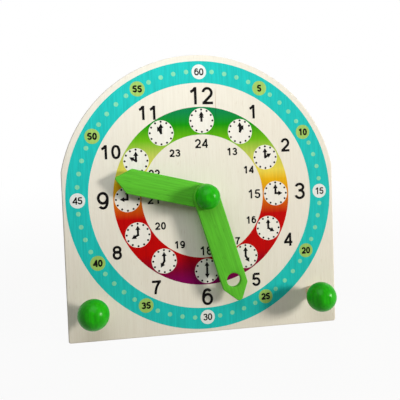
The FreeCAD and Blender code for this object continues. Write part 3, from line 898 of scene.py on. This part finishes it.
class CLOCK_OT_small_clocks(Operator):
    """Print the twelve small clocks, each at its own hour"""
    bl_idname = "clock.small_clocks"
    bl_label = "Small clocks"

    def execute(self, context):
        dial = context.scene.clock_dial
        faces, marks = bmesh.new(), bmesh.new()
        low, high = dial.film, 3 * dial.film
        apart = 0.2 * dial.film    # keeps the two printed hands from sharing a point
        for hour in range(12):
            angle = SMALL_CLOCK_ANGLES[hour] if hour <= 6 else -SMALL_CLOCK_ANGLES[12 - hour]
            centre = on_dial(angle, dial.small_circle)
            add_disc(faces, centre, dial.small_clock, 0.0, 2 * dial.film, sides=64)
            for dot in range(12):
                place = centre + on_dial(dot * HOUR_DEGREES, dial.small_dot_circle)
                add_disc(marks, place, dial.small_dot, low, high, sides=10)
            add_arrow(marks, centre, 0.0, dial.small_minute_hand, low, high)
            add_arrow(marks, centre, hour * HOUR_DEGREES, dial.small_hour_hand, low - apart, high + apart)
        wood, ink = context.scene.clock_wood, context.scene.clock_ink
        print_on_dial(faces, "small_clock_faces", birch_finish(wood, "whitened birch", whiten=0.35))
        print_on_dial(marks, "small_clock_marks", ink_finish("black ink", ink.black, show=0.3))
        return {"FINISHED"}


class CLOCK_OT_numerals(Operator):
    """Print the hours, the day hours and the minutes"""
    bl_idname = "clock.numerals"
    bl_label = "Numerals"

    def execute(self, context):
        dial, heights = context.scene.clock_dial, context.scene.clock_numerals
        low, high = -dial.sunk, 3 * dial.film
        finish = ink_finish("numeral ink", context.scene.clock_ink.black, show=0.3)
        for name, numerals, usual, large in (
                ("hour_numerals", HOURS, (heights.hour, HOUR_WEIGHT),
                 (heights.quarter, QUARTER_HOUR_WEIGHT)),
                ("day_hour_numerals", DAY_HOURS, (heights.day, DAY_WEIGHT),
                 (heights.day_quarter, DAY_QUARTER_WEIGHT))):
            bm = bmesh.new()
            faces = {weight: type_face(weight) for height, weight in (usual, large)}
            for text, place in numerals.items():
                height, weight = usual if int(text) % 3 else large
                add_numeral(bm, text, faces[weight], Vector(place) * MM, height, low, high)
            print_on_dial(bm, name, finish)
        minutes, medium, bold = bmesh.new(), type_face(QUARTER_WEIGHT), type_face(FIVE_WEIGHT)
        for minute in range(5, 61, 5):
            centre = on_dial(minute * MINUTE_DEGREES, dial.minute_circle, dial.minute_rise)
            digits = bold if minute % 15 else medium
            add_numeral(minutes, str(minute), digits, centre, heights.minute, 0.0, high, MINUTE_STEP)
        print_on_dial(minutes, "minute_numerals", finish)
        return {"FINISHED"}


class CLOCK_OT_hands(Operator):
    """Make the two stained hands"""
    bl_idname = "clock.hands"
    bl_label = "Hands"

    def execute(self, context):
        hands, rgb = context.scene.clock_hands, context.scene.clock_wood.hand_green
        hour, minute = clockwise(HOUR_HAND_ANGLE), clockwise(MINUTE_HAND_ANGLE)
        finger = extent("minute_hand", minute)[1].y - hands.hole_inset
        for node, name, body, stain, place, *sizes in (
                ("hour_hand", "hour_hand_blade", "hour_hand_set", "hour hand stain", hour,
                 hands.hour_extra, hands.hour_point, hands.hour_tip, [(0.0, hands.pipe_bore)]),
                ("minute_hand", "minute_hand_blade", "minute_hand_set", "minute hand stain", minute,
                 hands.minute_extra, hands.minute_point, hands.minute_tip,
                 [(0.0, hands.arbor_bore), (finger, hands.finger_hole)])):
            shape = blade(hands, node, place, *sizes)
            finish = stained_finish(stain, rgb, place)
            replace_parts(piece_from(shape, name, place, body, finish), node)
        return {"FINISHED"}


class CLOCK_OT_balls(Operator):
    """Turn the centre knob and the two corner balls"""
    bl_idname = "clock.balls"
    bl_label = "Knob and balls"

    def execute(self, context):
        balls = context.scene.clock_balls
        finish = lacquer_finish(context.scene.clock_wood.ball_green)
        knob = (balls.knob_radius, balls.knob_bore, balls.knob_dimple)
        corner = (balls.ball_radius, balls.ball_bore, balls.ball_dimple)
        for node, dowel, name, body, sizes in (
                ("centre_knob", "minute_arbor", "turned_knob", "minute_hand_set", knob),
                ("left_ball", "left_peg", "turned_ball_left", "clock_body", corner),
                ("right_ball", "right_peg", "turned_ball_right", "clock_body", corner)):
            shape = ball(balls, node, dowel, *sizes)
            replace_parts(piece_from(shape, name, DIAL, body, finish), node)
        return {"FINISHED"}


class CLOCK_OT_dowels(Operator):
    """Finish the pegs and the arbor in bare wood"""
    bl_idname = "clock.dowels"
    bl_label = "Pegs and arbor"

    def execute(self, context):
        repaint(dowel_finish(context.scene.clock_wood.dowel), "left_peg", "right_peg", "minute_arbor")
        return {"FINISHED"}


class CLOCK_OT_gear_case(Operator):
    """Finish the gear case on the board's back, its screws and the bushes"""
    bl_idname = "clock.gear_case"
    bl_label = "Gear case"

    def execute(self, context):
        repaint(plastic_finish("case plastic", rgb=(0.60, 0.60, 0.58), roughness=0.5, texture=900.0,
                               depth=0.06 * MM), "case_base", "case_cover")
        repaint(plastic_finish("bush plastic", rgb=(0.78, 0.78, 0.76), roughness=0.35, texture=500.0,
                               depth=0.01 * MM), "centre_bush", "rear_bush")
        repaint(steel_finish("zinc plate", rgb=(0.62, 0.62, 0.60), roughness=0.25),
                "case_screws", "base_screws")
        return {"FINISHED"}


class CLOCK_OT_gear_train(Operator):
    """Finish the wheels, the pipe and the post inside the case"""
    bl_idname = "clock.gear_train"
    bl_label = "Gear train"

    def execute(self, context):
        repaint(plastic_finish("acetal", rgb=(0.82, 0.81, 0.77), roughness=0.38, texture=700.0,
                               depth=0.01 * MM),
                "hour_wheel", "cannon_pinion", "minute_wheel", "minute_pinion", "hour_pipe")
        repaint(steel_finish("turned steel", rgb=(0.58, 0.58, 0.57), roughness=0.22), "idler_post")
        repaint(steel_finish("spring steel", rgb=(0.42, 0.42, 0.43), roughness=0.18),
                "idler_clip", "friction_washer")
        return {"FINISHED"}


class CLOCK_OT_stage(Operator):
    """Set the white floor, the room, the lamps and the camera"""
    bl_idname = "clock.stage"
    bl_label = "Stage"

    def execute(self, context):
        stage = context.scene.clock_stage
        lay_floor()
        light_room(stage.room, stage.room_tint)
        for where in ("side", "top", "back"):
            hang_lamp(stage, where)
        place_camera(stage)
        return {"FINISHED"}


def emptied(block):
    """The nodes of a new material or world, without its usual ones."""
    block.use_nodes = True
    block.node_tree.nodes.clear()
    return Nodes(block.node_tree)


def bright_to_eye(nodes):
    """1 for what the camera sees, directly or through gloss and glass, and 0 for other light."""
    eye, glossy, transmitted = (nodes.add("ShaderNodeLightPath", {}, output=f"Is {each} Ray")
                                for each in ("Camera", "Glossy", "Transmission"))
    return eye + glossy + transmitted > 0.5


def lay_floor():
    """A white floor that keeps a faint shadow about the clock and is plain white beyond."""
    half_width, near, far, shadow = 4.0, 0.15, 0.55, 0.06    # metres, and the shadow's share
    bm = bmesh.new()
    bmesh.ops.create_grid(bm, x_segments=1, y_segments=1, size=half_width)
    material = bpy.data.materials.new("white floor")
    nodes = emptied(material)
    reach = nodes.add("ShaderNodeVectorMath", {"operation": "LENGTH"},
                      nodes.coordinates(Matrix.Identity(4)))
    paint = nodes.add("ShaderNodeBsdfDiffuse", {}, (0.45, 0.43, 0.40, 1.0))
    glow = nodes.add("ShaderNodeEmission", {}, (1.0, 1.0, 1.0, 1.0), 1.0)
    share = bright_to_eye(nodes) * (nodes.between(reach, near, far) * shadow + (1 - shadow))
    surface = nodes.add("ShaderNodeMixShader", {}, share, paint, glow)
    nodes.add("ShaderNodeOutputMaterial", {}, surface)
    floor = into_scene("floor", mesh_of(bm, "floor"))
    floor.data.materials.append(material)


def light_room(strength, tint):
    """A white room to the eye, with an even light of its own."""
    world = bpy.data.worlds.new("room")
    nodes = emptied(world)
    seen = nodes.mix(bright_to_eye(nodes), shade(tint, strength), (1.0, 1.0, 1.0))
    background = nodes.add("ShaderNodeBackground", {}, seen, 1.0)
    nodes.add("ShaderNodeOutputWorld", {}, background)
    bpy.context.scene.world = world


def hang_lamp(stage, where):
    """One of the stage's square lamps, turned to the dial centre."""
    lamp = bpy.data.lights.new(f"{where}_lamp", "AREA")
    lamp.shape = "SQUARE"
    lamp.size = getattr(stage, f"{where}_size")
    lamp.energy = getattr(stage, f"{where}_power")
    lamp.color = getattr(stage, f"{where}_tint")
    holder = into_scene(f"{where}_lamp", lamp)
    holder.visible_camera = False
    place = Vector(getattr(stage, f"{where}_place"))
    turn = (DIAL.to_3x3() @ place).to_track_quat("Z", "Y").to_matrix().to_4x4()
    holder.matrix_world = Matrix.Translation(DIAL @ place) @ turn


def place_camera(stage):
    """The camera, upright to the dial but for its roll."""
    camera = bpy.data.cameras.new("camera")
    camera.lens = stage.lens
    camera.clip_start = 0.02
    holder = into_scene("camera", camera)
    back = (Vector(stage.camera) - Vector(stage.aim)).normalized()
    right = Vector((0.0, 1.0, 0.0)).cross(back).normalized()
    frame_of = Matrix((right, back.cross(right), back)).transposed().to_4x4()
    holder.matrix_world = (DIAL @ Matrix.Translation(stage.camera) @ frame_of
                           @ Matrix.Rotation(-stage.roll, 4, "Z"))
    bpy.context.scene.camera = holder


# ---- The add-on ----
OPERATORS = (CLOCK_OT_board, CLOCK_OT_minute_ring, CLOCK_OT_rainbow_band, CLOCK_OT_small_clocks,
             CLOCK_OT_numerals, CLOCK_OT_hands, CLOCK_OT_balls, CLOCK_OT_dowels,
             CLOCK_OT_gear_case, CLOCK_OT_gear_train, CLOCK_OT_stage)
SETTINGS = {"clock_wood": ClockWoodProps, "clock_ink": ClockInkProps, "clock_dial": ClockDialProps,
            "clock_numerals": ClockNumeralProps, "clock_hands": ClockHandProps,
            "clock_balls": ClockBallProps, "clock_stage": ClockStageProps}


class CLOCK_PT_panel(Panel):
    """Every piece of the clock, in the order in which it is made"""
    bl_idname = "CLOCK_PT_panel"
    bl_label = "Teaching clock"
    bl_space_type = "VIEW_3D"
    bl_region_type = "UI"
    bl_category = "Clock"

    def draw(self, context):
        for operator in OPERATORS:
            self.layout.operator(operator.bl_idname)
        for group, kind in SETTINGS.items():
            box = self.layout.box()
            for name in kind.__annotations__:
                box.prop(getattr(context.scene, group), name)


def register():
    for kind in (*SETTINGS.values(), *OPERATORS, CLOCK_PT_panel):
        bpy.utils.register_class(kind)
    for name, kind in SETTINGS.items():
        setattr(bpy.types.Scene, name, PointerProperty(type=kind))


def unregister():
    for name in SETTINGS:
        delattr(bpy.types.Scene, name)
    for kind in reversed((*SETTINGS.values(), *OPERATORS, CLOCK_PT_panel)):
        bpy.utils.unregister_class(kind)


def main():
    """Makes everything in order."""
    register()
    bpy.context.scene.view_settings.view_transform = "Standard"
    for operator in OPERATORS:
        group, name = operator.bl_idname.split(".")
        getattr(getattr(bpy.ops, group), name)()


if __name__ == "__main__":
    main()
